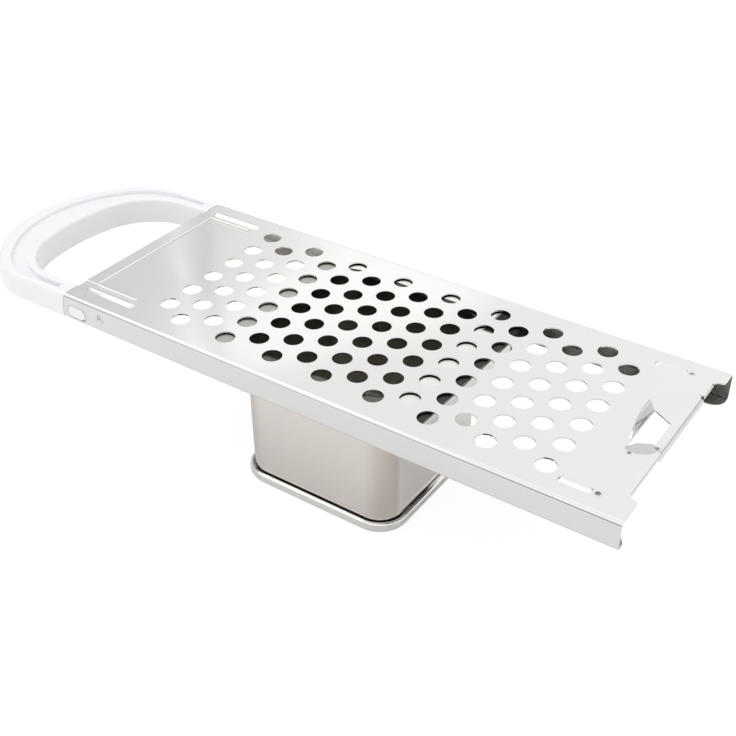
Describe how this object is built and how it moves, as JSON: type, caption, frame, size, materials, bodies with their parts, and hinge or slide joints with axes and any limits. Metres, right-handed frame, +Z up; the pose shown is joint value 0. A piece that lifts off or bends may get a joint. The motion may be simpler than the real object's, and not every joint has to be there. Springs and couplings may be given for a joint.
{
  "type": "spaetzle maker",
  "caption": "Flat spaetzle maker: a perforated steel plate with folded rails, a sliding square hopper under it and a white loop handle.",
  "frame": {"origin": "centre of the tool's bounding box at its lowest level, the plane of the hopper's rolled rim that it stands on", "axes": "+X along the plate from the handle to the hooked end, +Y across the plate, +Z up from the hopper's rim to the plate's pot face"},
  "size_m": [0.3198, 0.1, 0.0713],
  "materials": {
    "plate_steel": "polished stainless sheet",
    "hopper_steel": "satin stainless sheet",
    "handle_plastic": "glossy white moulding"
  },
  "bodies": {
    "plate": {"grater_plate": "plate_steel", "handle": "handle_plastic"},
    "hopper": {"slide_plate": "hopper_steel", "hopper_box": "hopper_steel"}
  },
  "joints": [
    {"name": "hopper_slide", "type": "slide", "parent": "plate", "child": "hopper", "axis": [1, 0, 0], "range_m": [-0.046, 0.075]}
  ]
}
